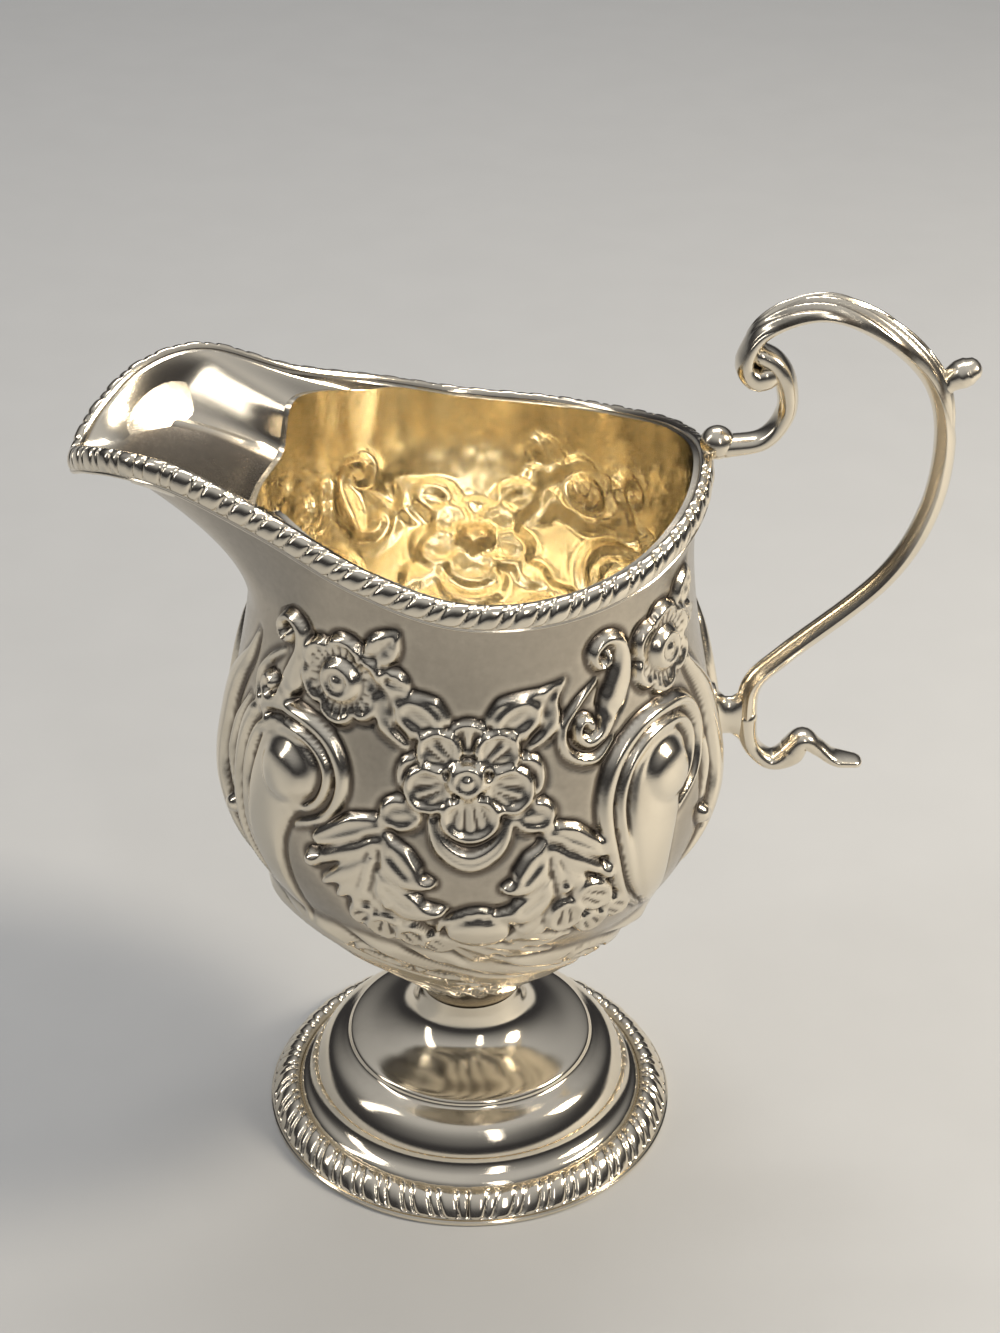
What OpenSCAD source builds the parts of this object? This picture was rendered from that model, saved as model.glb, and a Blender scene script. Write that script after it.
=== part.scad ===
// Silver cream jug on a stepped foot, with an applied spout and a scroll handle.
// Millimetres. The origin is the centre of the foot's base, +Z is up,
// the handle points along +X and the spout along -X.

/* [Bowl] */
// Largest radius of the bowl
bowl_r = 35.2; // [34:0.1:37]
// Height at which the bowl meets the foot
bowl_base_z = 22; // [20:0.5:24]
// Radius of the waist between bowl and foot
waist_r = 7.5; // [7:0.25:8.5]
// Thickness of the raised sheet
wall = 0.9; // [0.6:0.1:1.2]

/* [Chasing] */
// Height of the tallest chased form above the bowl
chasing_h = 2; // [1.4:0.1:2.2]

/* [Rim] */
// Outside radius of the neck at the rim
rim_r = 30.8; // [30.4:0.1:31.2]
// Height of the rim at the handle
rim_back_z = 111.5; // [110:0.5:112.5]
// Height of the rim at its lowest, beside the neck
rim_low_z = 105.3; // [104.5:0.1:106]
// How far the gadrooned border stands out from the neck
border_w = 1.95; // [1.7:0.05:2.2]
// Number of lobes around the rim
rim_lobes = 146; // [100:2:180]

/* [Spout] */
// Reach of the lip in front of the jug's axis
lip_reach = 52.8; // [51:0.1:54]
// Height of the rim at the tip of the lip
lip_z = 111.8; // [110.8:0.2:112.8]
// Height of the notch in the neck behind the spout
notch_z = 104.5; // [103:0.5:105]

/* [Handle] */
// Half width of the handle bar, across the jug
bar_half_w = 2; // [1.6:0.1:2.3]
// Half thickness of the handle bar, in the plane of the handle
bar_half_t = 1.4; // [1.2:0.1:1.6]
// Half width of the leaf on top of the handle
leaf_half_w = 2.5; // [2:0.1:3]
// Height of the leaf above the bar
leaf_h = 1.7; // [1.3:0.1:2]
// Radius of the ball on the rim
ball_r = 2.9; // [2.6:0.1:3.2]

/* [Foot] */
// Outside diameter of the foot
foot_d = 62; // [60:0.5:64]
// Thickness of the flat base wire
base_wire_h = 0.8; // [0.6:0.1:1]
// Number of lobes around the foot
foot_lobes = 74; // [60:2:90]

/* [Hidden] */

silver = "#c9c7c2";
bright_silver = "#dcd9d2";
$fn = 96;

// Gap left for the solder between two pieces
solder = 0.05;

// Bowl and neck, radius and height from the waist up to above the rim
bowl_points = [
    [waist_r, bowl_base_z],
    [12.6, 30],
    [26, 44],
    [bowl_r - 2.3, 54],
    [bowl_r, 64],
    [33.6, 76],
    [31.5, 88],
    [rim_r - 0.25, 98],
    [rim_r - 0.1, 108],
    [rim_r, 118]];

// Chased forms, as domes: right of and above the form's middle, half width, and share of the tallest height
comma_form = [[0, 0, 5, 1], [-3.4, -6.2, 4.4, 0.7], [-4, -12.4, 3.4, 0.5]];
rosette_form = [[0, 0, 5.6, 0.6]];
spray_form = [[5.4, -4.6, 4, 0.45], [-3, -8.6, 3.4, 0.5]];
cabochon_form = [[0, 0, 4.2, 0.65]];
petals = 6;
petal_r = 5.2;
first_petal = 30;
flower_form = concat([[0, 0, 2.6, 0.9]],
    [for (k = [0:petals - 1]) let (a = first_petal + 360 * k / petals)
        [petal_r * cos(a), petal_r * sin(a), 2.9, 0.55]]);
// Tall leaf beside the plain fields: height, and share of the tallest height
band_line = [[92, 0.4], [82, 0.65], [70, 0.65], [60, 0.3]];
band_angle = 5;
// Where the forms are on the near half: angle from the handle, and height
comma_angles = [226.5, 320.5];
comma_z = 76.5;
rosette_turn = 7;
rosette_z = 91;
flower_place = [269.5, 80.2];
left_spray = 251.5;
right_spray = 286.5;
spray_z = 72;
cabochon_place = [272, 57.5];
band_angles = [164, 193];

// Rim over the neck: angle from the handle, and height
rim_back = [
    [0, rim_back_z],
    [23, rim_back_z - 1.9],
    [46, rim_low_z + 1.5],
    [70, rim_low_z],
    [93, rim_low_z + 0.3]];
// Rim over the spout: reach, half width and height, up to the lip
rim_front = [
    [-13.6, 28, 108.8],
    [-26, 21.8, 113.4],
    [-37.5, 18.4, 118.2],
    [-45.5, 13.2, 117.8],
    [-50.8, 6, 114.6],
    [-lip_reach, 0, lip_z]];
// Edge of the neck behind the spout, in side view
seam_side = [[-13, 105], [-19, 107.6], [-24, 110], [-27, 108], [-29.3, 105.5], [-32, notch_z]];
// Angle at which the rim leaves the neck
spout_start = 116;
// Parts of a curve between two of its points, on the rim, the bowl and the seam
rim_steps = 12;
bowl_steps = 6;
seam_steps = 4;
// How far the spout laps down over the neck
spout_lap = 4;

// Centre lines of the handle's bars, in the plane of the handle
scroll_points = [[39.8, 122.8], [38, 122], [36, 125], [38.5, 130.5], [46, 133], [54, 130], [61, 123.5],
    [63.6, 115], [62.5, 103.5], [57, 92.5], [44.5, 80.5], [40, 75.5], [39.4, 70]];
tail_points = [[39.4, 69.9], [40.5, 65], [44.3, 62.5], [46.5, 65], [48, 66.5], [49.8, 64.7], [52.5, 63],
    [56, 62.5]];
strut_points = [[37.85, 126], [40.2, 124.2], [41.9, 119.5], [39.8, 114.1], [35.2, 112.6]];
spur_points = [[62.9, 122.9], [64.6, 124.1], [66.7, 125.4]];
steps = 5;
// Direction of the main bar where it meets the lower scroll
down = [0, -4];
// Stations of the scroll that the leaf covers
leaf_from = 2 * steps;
leaf_to = 6 * steps - 1;
// Half height and half width of the block that holds the handle off the bowl
socket_half_h = 4;
socket_half_w = 1.8;

// Foot, radius and height from the waist down to the skirt
foot_r = foot_d / 2;
skirt_r = foot_r - 4.5;
gadroon_r = skirt_r + solder;
foot_points = [
    [waist_r, bowl_base_z - solder],
    [8.1, 19],
    [11, 15.4],
    [18.4, 12.8],
    [18.8, 12.2],
    [21.8, 10],
    [23.7, 7],
    [24, 6.2],
    [24.6, 4.8],
    [skirt_r - 0.6, 3.8],
    [skirt_r, 3]];

// A smooth curve through points, with its end directions given
function curve_at(p, i, t, first, last) =
    let (
        a = p[i],
        b = p[i + 1],
        da = i == 0 ? first : (b - p[i - 1]) / 2,
        db = i + 2 == len(p) ? last : (p[i + 2] - a) / 2)
    (1 - t) ^ 2 * (1 + 2 * t) * a + t * (1 - t) ^ 2 * da + t ^ 2 * (3 - 2 * t) * b - t ^ 2 * (1 - t) * db;
function curve(p, n, first, last) = [
    for (i = [0:len(p) - 2]) for (k = [0:n - 1]) curve_at(p, i, k / n, first, last),
    p[len(p) - 1]];
// The same curve with its ends running straight on
function free_curve(p, n) = curve(p, n, p[1] - p[0], p[len(p) - 1] - p[len(p) - 2]);

function unit(v) = v / norm(v);
function flip_y(p) = [p[0], -p[1], p[2]];
// Level direction square to a line that runs round the jug
function outward(t) = unit(cross(t, [0, 0, 1]));
function reverse(p) = [for (i = [len(p) - 1:-1:0]) p[i]];
// Direction of an open line at a point
function heading(p, i) = unit(p[min(i + 1, len(p) - 1)] - p[max(i - 1, 0)]);
// Length of a line up to each of its points
function lengths(p) = [
    for (i = 0, s = 0; i < len(p); i = i + 1, s = s + (i < len(p) ? norm(p[i] - p[i - 1]) : 0)) s];
// Points spread evenly along a line
function even(p, n) =
    let (
        s = lengths(p),
        total = s[len(s) - 1],
        tables = [for (axis = [0:2]) [for (i = [0:len(p) - 1]) [s[i], p[i][axis]]]])
    [for (k = [0:n]) [for (table = tables) lookup(total * k / n, table)]];

// Half of the rim, along the outside edge of the sheet, from the handle to the lip
rim_points = concat([for (p = rim_back) [rim_r * cos(p[0]), rim_r * sin(p[0]), p[1]]], rim_front);
rim_count = len(rim_points);
rim_half = curve(rim_points, rim_steps,
    (rim_points[1] - flip_y(rim_points[1])) / 2,
    (flip_y(rim_points[rim_count - 2]) - rim_points[rim_count - 2]) / 2);
rim_start_i = rim_steps * len(rim_back);

bowl_outer = free_curve(bowl_points, bowl_steps);
bowl_inner = [for (i = [0:len(bowl_outer) - 1])
    let (h = heading(bowl_outer, i)) bowl_outer[i] + wall * [-h[1], h[0]]];
// Outside radius of the neck at a height
function neck_r(z) = lookup(z, [for (p = bowl_outer) [p[1], p[0]]]);
seam = free_curve(seam_side, seam_steps);
function seam_z(x) = lookup(-x, [for (p = seam) [-p[0], p[1]]]);

// Skin a list of equal rings; closed joins the last ring to the first
module skin(rings, closed = false) {
    n = len(rings[0]);
    m = len(rings);
    sides = [
        for (i = [0:m - (closed ? 1 : 2)]) for (k = [0:n - 1])
            let (a = i * n, b = ((i + 1) % m) * n, next = (k + 1) % n)
            each [[a + k, a + next, b + next], [a + k, b + next, b + k]]];
    caps = closed ? [] : [[for (k = [n - 1:-1:0]) k], [for (k = [0:n - 1]) (m - 1) * n + k]];
    polyhedron([for (r = rings) each r], concat(sides, caps));
}

// One section of a bar in the plane of the handle, round above and below its centre line
function bar_ring(path, i, half_w, above, below, sides = 10) =
    let (h = heading(path, i), n = [-h[1], h[0]])
    [for (k = [0:sides - 1])
        let (a = 360 * k / sides, up = -sin(a) * (sin(a) > 0 ? below : above))
        [path[i][0] + up * n[0], half_w * cos(a), path[i][1] + up * n[1]]];

// Swelling from 0 at the first end to 1 at the middle and back
function swell(t) = sin(180 * t);

module bowl_solid(outline) {
    rotate_extrude()
        polygon(concat([[0, outline[0][1]]], outline, [[0, outline[len(outline) - 1][1]]]));
}

// Everything above the edge of the sheet, in side view
module above_rim() {
    back = [for (i = [0:rim_start_i - 1]) [rim_half[i][0], rim_half[i][2]]];
    outside = 40;
    top = 130;
    rotate([90, 0, 0])
        linear_extrude(2 * outside, center = true)
            polygon(concat([[outside, top], [outside, back[0][1]]], back, seam,
                [[-outside, notch_z], [-outside, top]]));
}

// Part of a ball that stands out of the bowl
module dome(angle, z, half_w, h) {
    r = (half_w ^ 2 + h ^ 2) / (2 * h);
    tilt = atan2(neck_r(z - 1) - neck_r(z + 1), 2);
    rotate(angle)
        translate([neck_r(z) + (h - r) * cos(tilt), 0, z + (h - r) * sin(tilt)])
            sphere(r);
}

// A chased form around its middle, flipped from left to right with side -1
module chased(angle, z, form, side = 1) {
    for (p = form)
        dome(angle + side * p[0] / neck_r(z) * 180 / PI, z + p[1], p[2], chasing_h * p[3]);
}

// Raised leaf that runs down the bowl
module band(angle) {
    rotate(angle - band_angle / 2)
        rotate_extrude(angle = band_angle)
            polygon(concat([[bowl_r / 2, band_line[0][0]]],
                [for (p = band_line) [neck_r(p[0]) + chasing_h * p[1], p[0]]],
                [[bowl_r / 2, band_line[len(band_line) - 1][0]]]));
}

// The chasing repeats after half a turn
module chasing() {
    for (half_turn = [0, 180]) {
        for (angle = comma_angles) {
            chased(half_turn + angle, comma_z, comma_form);
            chased(half_turn + angle + rosette_turn, rosette_z, rosette_form);
        }
        chased(half_turn + flower_place[0], flower_place[1], flower_form);
        chased(half_turn + right_spray, spray_z, spray_form);
        chased(half_turn + left_spray, spray_z, spray_form, -1);
        chased(half_turn + cabochon_place[0], cabochon_place[1], cabochon_form);
        for (angle = band_angles)
            band(half_turn + angle);
    }
}

module body() {
    color(silver)
        difference() {
            union() {
                bowl_solid(bowl_outer);
                chasing();
            }
            bowl_solid(concat([[bowl_inner[0][0], bowl_base_z + wall]],
                [for (p = bowl_inner) if (p[1] > bowl_base_z + wall) p]));
            above_rim();
        }
}

// Inner face of the spout: columns run from one side of the lip to the other, rows from neck to lip
spout_columns = 32;
spout_rows = 6;
spout_edge = even([for (i = [rim_start_i:len(rim_half) - 1]) rim_half[i]], spout_columns / 2);
spout_lip = [for (i = [0:len(spout_edge) - 1]) spout_edge[i] - wall * outward(heading(spout_edge, i))];
function spout_face(column, row) =
    let (
        side = column <= spout_columns / 2 ? 1 : -1,
        k = side > 0 ? column : spout_columns - column,
        turn = (180 - spout_start) * (1 - k * 2 / spout_columns),
        z = seam_z(-rim_r * cos(turn)),
        lap = row < 0 ? -row * spout_lap / 2 : 0,
        r = neck_r(z - lap) + solder,
        root = [-r * cos(turn), r * sin(turn), z - lap],
        lip = spout_lip[k],
        t = max(row, 0) / spout_rows,
        bend = (root + lip) / 2 - [0, 0, 0.4],
        p = (1 - t) ^ 2 * root + 2 * t * (1 - t) * bend + t ^ 2 * lip)
    [p[0], side * p[1], p[2]];
// Thickness of the spout, feathered over the neck, fullest at the seam and thin where the spout starts
function spout_wall(column, row) =
    lookup(row, [[-2, 0.15], [-1, 0.8], [0, 1.4], [2, wall], [spout_rows, wall]])
        * lookup(min(column, spout_columns - column), [[0, 0.3], [5, 1]]);
function spout_normal(column, row) =
    let (
        across = spout_face(min(column + 1, spout_columns), row) - spout_face(max(column - 1, 0), row),
        along = spout_face(column, min(row + 1, spout_rows)) - spout_face(column, max(row - 1, -2)))
    unit(cross(across, along));

module spout() {
    color(bright_silver)
        skin([for (column = [0:spout_columns]) concat(
            [for (row = [-2:spout_rows])
                spout_face(column, row) + spout_wall(column, row) * spout_normal(column, row)],
            [for (row = [spout_rows:-1:-2]) spout_face(column, row)])]);
}

// Section of the gadrooned border, outwards and upwards from the edge of the sheet
border_section = [[1, -0.6], [0.77, 0.35], [0.36, 0.75], [0, 0.3], [0, -2.1], [0.46, -2.2], [0.82, -1.6]];
border_top = 0.8;
border_bottom = -2.3;

// Gadrooned border: lobes and grooves in turn, each leaning along the rim
module rim_gadroon() {
    lean = 0.35;
    groove = 0.78;
    half = even(rim_half, rim_lobes);
    loop = concat(half, [for (i = [rim_lobes - 1:-1:1]) flip_y(half[i])]);
    count = len(loop);
    color(bright_silver)
        skin([for (i = [0:count - 1])
            let (
                t = unit(loop[(i + 1) % count] - loop[(i + count - 1) % count]),
                out = outward(t),
                up = cross(out, t),
                depth = border_w * (i % 2 == 0 ? 1 : groove))
            [for (p = border_section)
                loop[i] + out * (solder + depth * p[0]) + up * p[1] + t * lean * p[1]]], closed = true);
}

module rim_ball() {
    ball = [33, 0, 113.6];
    flat_x = strut_points[len(strut_points) - 1][0] - 4 * solder;
    color(bright_silver)
        difference() {
            translate(ball)
                sphere(ball_r);
            translate([0, 0, rim_back_z + border_bottom])
                rotate_extrude()
                    translate([rim_r - wall - solder, 0])
                        square([wall + border_w + 3 * solder, border_top - border_bottom]);
            translate([flat_x, -ball_r, ball[2] - ball_r])
                cube(2 * ball_r);
        }
}

scroll = curve(scroll_points, steps, scroll_points[1] - scroll_points[0], down);
scroll_end = len(scroll) - 1;

// Main bar: thin in the curl, flat under the leaf and full below it
module handle_scroll() {
    color(bright_silver)
        skin([for (i = [0:scroll_end])
            let (
                width = lookup(i, [[0, 1.3], [leaf_from, 2], [leaf_to, 2.2], [leaf_to + 4, bar_half_w],
                    [scroll_end, 1.7]]),
                above = lookup(i, [[0, 0.7], [leaf_from - 2, 0.9], [leaf_from - 1, 0.05], [leaf_to, 0.05],
                    [leaf_to + 2, bar_half_t]]),
                below = lookup(i, [[0, 0.7], [leaf_from, bar_half_t]]))
            bar_ring(scroll, i, width, above, below)]);
}

// Leaf lying along the top of the bar
module handle_leaf() {
    span = leaf_to - leaf_from;
    color(bright_silver)
        skin([for (i = [leaf_from:leaf_to])
            let (t = (i - leaf_from) / span, full = swell(0.15 + 0.7 * t))
            bar_ring(scroll, i, leaf_half_w * (0.5 + 0.5 * full), leaf_h * (0.4 + 0.6 * full), -0.15)]);
}

// Tip of the leaf, turned out as a thumb rest
module thumb_spur() {
    path = free_curve(spur_points, steps);
    last = len(path) - 1;
    color(bright_silver)
        skin([for (i = [0:last])
            let (size = lookup(i / last, [[0, 0.7], [0.5, 1], [0.8, 0.95], [1, 0.5]]))
            bar_ring(path, i, bar_half_w * size, bar_half_t * size, bar_half_t * size)]);
}

// Small scroll from the curl down to the ball
module handle_strut() {
    path = free_curve(strut_points, steps);
    color(bright_silver)
        skin([for (i = [0:len(path) - 1]) bar_ring(path, i, 1.5, 0.85, 0.85)]);
}

// Block between the bowl and the foot of the bar
module handle_socket() {
    bar_face = scroll_points[len(scroll_points) - 1][0] - bar_half_t - solder;
    reach = 8;
    color(bright_silver)
        difference() {
            translate([bar_face, 0, scroll_points[len(scroll_points) - 1][1]])
                rotate([0, -90, 0])
                    linear_extrude(reach) {
                        square([2 * (socket_half_h - socket_half_w), 2 * socket_half_w], center = true);
                        for (side = [-1, 1])
                            translate([side * (socket_half_h - socket_half_w), 0])
                                circle(socket_half_w);
                    }
            bowl_solid([for (p = bowl_outer) p + [solder, 0]]);
        }
}

// Small scroll below the socket, ending in a flat leaf
module handle_tail() {
    count = len(tail_points);
    path = curve(tail_points, steps, down, tail_points[count - 1] - tail_points[count - 2]);
    last = len(path) - 1;
    color(bright_silver)
        skin([for (i = [0:last])
            let (
                width = lookup(i / last, [[0, 1.7], [0.6, 1.7], [0.9, 2], [1, 0.8]]),
                depth = lookup(i / last, [[0, bar_half_t], [0.6, 0.8], [0.9, 0.6], [1, 0.3]]))
            bar_ring(path, i, width, depth, depth)]);
}

// Spun stepped foot, open underneath
module foot() {
    outline = foot_points;
    inside = [for (i = [0:len(outline) - 1])
        let (h = heading(outline, i)) outline[i] + wall * [h[1], -h[0]]];
    color(silver)
        rotate_extrude()
            polygon(concat(outline, [[skirt_r, base_wire_h], [skirt_r - wall, base_wire_h]],
                reverse(inside)));
}

// Gadrooned border around the foot
module foot_gadroon() {
    width = foot_r - 0.4 - gadroon_r;
    count = 2 * foot_lobes;
    groove = 0.82;
    color(bright_silver)
        skin([for (i = [0:count - 1])
            let (a = 360 * i / count, lobe = i % 2 == 0 ? 1 : groove)
            [for (p = [[0, 0], [width * 0.9, 0], [width * lobe, 0.9], [width * 0.9 * lobe, 2.2],
                    [width * 0.62 * lobe, 3.3 * lobe], [width * 0.3, 3.6 * lobe], [0, 2.9]])
                let (r = gadroon_r + p[0])
                [r * cos(a), r * sin(a), base_wire_h + p[1]]]], closed = true);
}

// Flat wire that the jug stands on
module foot_rim() {
    inner_r = skirt_r - 1.5;
    color(silver)
        rotate_extrude()
            translate([inner_r, 0])
                square([foot_r - inner_r, base_wire_h]);
}

body();
spout();
rim_gadroon();
rim_ball();
handle_scroll();
handle_leaf();
thumb_spur();
handle_strut();
handle_socket();
handle_tail();
foot();
foot_gadroon();
foot_rim();
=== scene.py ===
"""Dresses the cream jug's solids: chased bowl, gilt inside, cast borders, scroll handle and turned foot."""

from math import cos, pi, radians, sin

import bmesh
import bpy
import numpy as np
from bpy.props import FloatProperty, FloatVectorProperty, IntProperty, PointerProperty
from bpy.types import Operator, Panel, PropertyGroup
from mathutils import Matrix, Vector


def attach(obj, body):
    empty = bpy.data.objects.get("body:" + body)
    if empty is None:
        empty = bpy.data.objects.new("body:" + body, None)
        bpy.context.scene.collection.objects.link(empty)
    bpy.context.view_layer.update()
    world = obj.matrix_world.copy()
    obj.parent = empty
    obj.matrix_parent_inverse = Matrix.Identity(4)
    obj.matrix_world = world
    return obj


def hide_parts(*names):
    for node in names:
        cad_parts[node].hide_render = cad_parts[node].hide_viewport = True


bl_info = {
    "name": "Chased Cream Jug",
    "version": (1, 0, 0),
    "blender": (4, 5, 0),
    "location": "View3D > Sidebar > Jug",
    "description": "Builds the visible pieces of a silver cream jug around its packed solids",
    "category": "Object",
}

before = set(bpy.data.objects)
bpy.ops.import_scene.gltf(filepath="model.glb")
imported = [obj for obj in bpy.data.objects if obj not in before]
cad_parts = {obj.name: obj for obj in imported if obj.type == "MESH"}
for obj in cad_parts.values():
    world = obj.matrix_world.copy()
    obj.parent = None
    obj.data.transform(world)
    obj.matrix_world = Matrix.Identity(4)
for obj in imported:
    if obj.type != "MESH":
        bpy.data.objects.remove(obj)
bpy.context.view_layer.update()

# Shapes below are in millimetres and become metres when a piece is made
MM = 0.001

# Outside of the bowl and neck: radius and height
BOWL_LINE = [(7.5, 22), (12.6, 30), (26, 44), (32.9, 54), (35.2, 64), (33.6, 76), (31.5, 88), (30.55, 98),
             (30.7, 108), (30.8, 118)]
WALL = 0.9
RIM_R = 30.8
# Parts of the bowl's and the rim's line between two of its points
PARTS = 24
# Rim over the neck: angle from the handle and height
RIM_BACK = [(0, 111.5), (23, 109.6), (46, 106.8), (70, 105.3), (93, 105.6)]
# Rim over the spout: reach, half width and height, up to the lip
RIM_FRONT = [(-13.6, 28, 108.8), (-26, 21.8, 113.4), (-37.5, 18.4, 118.2), (-45.5, 13.2, 117.8),
             (-50.8, 6, 114.6), (-52.8, 0, 111.8)]
# Edge of the neck behind the spout, in side view
SEAM_LINE = [(-13, 107.6), (-17.5, 109), (-22, 110.6), (-25.2, 111.5), (-26.5, 110.7), (-27.1, 107.6),
             (-27.5, 105.2), (-28.9, 103.8), (-32, 103.5)]
# Angle at which the spout starts to leave the neck, and the turn in which the edge passes to the seam
SPOUT_START = 106
SEAM_TURN = 24
# Height at which the plain neck starts, and the rows of points above it
NECK_Z = 101.5
NECK_ROWS = 8
# Length of the profile below the ornament
PLAIN = 14
# Chased line round each form: how far outside it, and its width
LINE_OUT, LINE_WIDTH = 0.3, 0.32
# Darkening of the plain ground, part dull finish and part painted shade for dark reflections, against 0 on
# the worn crowns, and darkening in a hollow 1 mm deep, part tarnish and part painted shade
DULL_AND_SHADE = 0.54
HOLLOW_TONE, PIT_TONE = 2.6, 1.8
# Wear of the metals: specks in the darkening, thin veil, and cloudy, drawn and darkened shares of the
# roughness
SPECKS, VEIL, CLOUDS, HAIRS, TONED = 0.25, 0.16, 0.7, 0.6, 0.12
HAIR_DEPTH_M = 0.00004
# Fineness of the polishing marks along each axis, on the bowl and the spout
BRUSHED = (0.5, 0.5, 14)

# Centre lines of the handle, in its own plane
BAR_LINE = [(39, 124), (37.5, 123.6), (36.1, 125.8), (38.5, 130.5), (46, 133), (54, 130), (61, 123.5),
            (63.6, 115), (62.5, 103.5), (57, 92.5), (44.5, 80.5), (40, 75.5), (39.4, 70)]
TAIL_LINE = [(39.4, 69.9), (40.2, 65.3), (43, 62.6), (45.8, 63.5), (47.7, 66), (50, 64.6), (52.4, 62.9),
             (55.6, 62.3)]
STRUT_LINE = [(37.9, 126.9), (40.1, 125.5), (41.7, 122.5), (41.9, 118.2), (39.2, 114.2), (34, 113)]
SPUR_LINE = [(62.4, 122.2), (64.2, 123.6), (66.2, 124.7)]
# Direction of the bar where it meets the tail
DOWN = (0, -4)
BALL = (33, 0, 113.6)
BALL_R = 2.35
ARM_Z = 70

# Turned foot: radius and height from the waist down to the skirt
FOOT_LINE = [(7.5, 21.95), (7.8, 20), (8.7, 17.6), (10.8, 15.6), (14.2, 14.1), (17.6, 13.3), (18.4, 12.9),
             (18.7, 12.2), (19.6, 11.6), (21.6, 10.4), (23, 8.6), (23.7, 7.1), (23.75, 6.5), (24.1, 5.6),
             (24.9, 4.6), (25.9, 3.9), (26.5, 3.1)]
FOOT_SKIRT = [(26.5, 0.8), (25.6, 0.8)]
FOOT_WIRE = [(25, 0.1), (25.1, 0), (30.7, 0), (31, 0.2), (31, 0.6), (30.8, 0.8), (25.1, 0.8), (25, 0.7)]
# Points round each turned piece
ROUND = 192

# Section of the rim's border: out from the sheet's edge and up, over the crown and down to the bead under it
RIM_SECTION = [(-0.2, 0.1), (0.25, 0.72), (0.8, 0.8), (1.45, 0.45), (1.85, -0.35), (1.98, -1.2),
               (1.85, -1.95), (1.55, -2.2), (1.72, -2.45), (1.5, -2.72), (0.8, -2.85), (0.02, -2.75)]
SECTION_WIDTH = 1.95
# Section of the foot's border: radius and height
FOOT_SECTION = [(26.55, 3.3), (27.1, 3.95), (27.9, 4.05), (28.9, 3.5), (29.8, 2.55), (30.4, 1.55),
                (30.55, 1.15), (30.45, 0.83), (28.5, 0.82), (26.55, 0.82)]


def smooth(t):
    """Ease from 0 to 1."""
    t = np.clip(t, 0, 1)
    return t * t * (3 - 2 * t)


def spline(points, steps, first=None, last=None):
    """A smooth line through points, with steps parts between each two."""
    p = np.asarray(points, float)
    slope = np.empty_like(p)
    slope[1:-1] = (p[2:] - p[:-2]) / 2
    slope[0] = p[1] - p[0] if first is None else first
    slope[-1] = p[-1] - p[-2] if last is None else last
    t = (np.arange(steps) / steps)[:, None]
    near, far = (1 - t) ** 2 * (1 + 2 * t), t * t * (3 - 2 * t)
    leave, arrive = t * (1 - t) ** 2, t * t * (1 - t)
    parts = [near * a + leave * da + far * b - arrive * db
             for a, b, da, db in zip(p[:-1], p[1:], slope[:-1], slope[1:])]
    return np.vstack(parts + [p[-1:]])


def lengths(line):
    """Distance along a line up to each of its points."""
    return np.concatenate([[0], np.cumsum(np.linalg.norm(np.diff(line, axis=0), axis=1))])


def even(line, count):
    """Points spread evenly along a line."""
    s = lengths(line)
    at = s[-1] * np.linspace(0, 1, count)
    return np.column_stack([np.interp(at, s, axis) for axis in line.T])


def unit(v):
    """Directions of vectors, with length 1."""
    return v / np.linalg.norm(v, axis=-1, keepdims=True)


def table(t, *values):
    """Values spread evenly from 0 to 1, read at t."""
    return np.interp(t, np.linspace(0, 1, len(values)), values)


def left_of(line):
    """Directions square to a flat line, on its left."""
    way = unit(np.gradient(line, axis=0))
    return np.column_stack([-way[:, 1], way[:, 0]])


def polar(r, angle, z):
    """Points from their distance from the jug's axis, angle and height."""
    return np.stack([r * np.cos(angle), r * np.sin(angle), z], -1)


# Bowl profile, finely divided, with its length and its outward direction
bowl = spline(BOWL_LINE, PARTS)
bowl_s = lengths(bowl)
bowl_out = -left_of(bowl)


def on_bowl(s):
    """Radius, height and outward direction of the bowl at lengths along its profile."""
    return tuple(np.interp(s, bowl_s, column) for column in (*bowl.T, *bowl_out.T))


def s_at(z):
    """Length along the bowl's profile at heights."""
    return np.interp(z, bowl[:, 1], bowl_s)


def neck_r(z):
    """Outer radius of the bowl and neck at heights."""
    return np.interp(z, bowl[:, 1], bowl[:, 0])


def rim_half():
    """The edge of the sheet from the handle to the lip, on the far side."""
    back = [(RIM_R * cos(radians(a)), RIM_R * sin(radians(a)), z) for a, z in RIM_BACK]
    points = np.array(back + RIM_FRONT, float)
    mirror = np.array([1, -1, 1])
    return spline(points, PARTS, (points[1] - points[1] * mirror) / 2, (points[-2] * mirror - points[-2]) / 2)


rim = rim_half()
rim_start = PARTS * len(RIM_BACK)
seam = spline(SEAM_LINE, 12)


def neck_top(angle):
    """Height of the neck's edge at angles from the handle: under the rim, then behind the spout."""
    a = np.abs((np.asarray(angle, float) + 180) % 360 - 180)
    back = rim[:rim_start + 1]
    rim_z = np.interp(a, np.degrees(np.arctan2(back[:, 1], back[:, 0])), back[:, 2])
    seam_z = np.interp(-RIM_R * np.cos(np.radians(a)), -seam[:, 0], seam[:, 1])
    to_seam = smooth((a - SPOUT_START) / SEAM_TURN)
    return rim_z + (seam_z - rim_z) * to_seam


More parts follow.
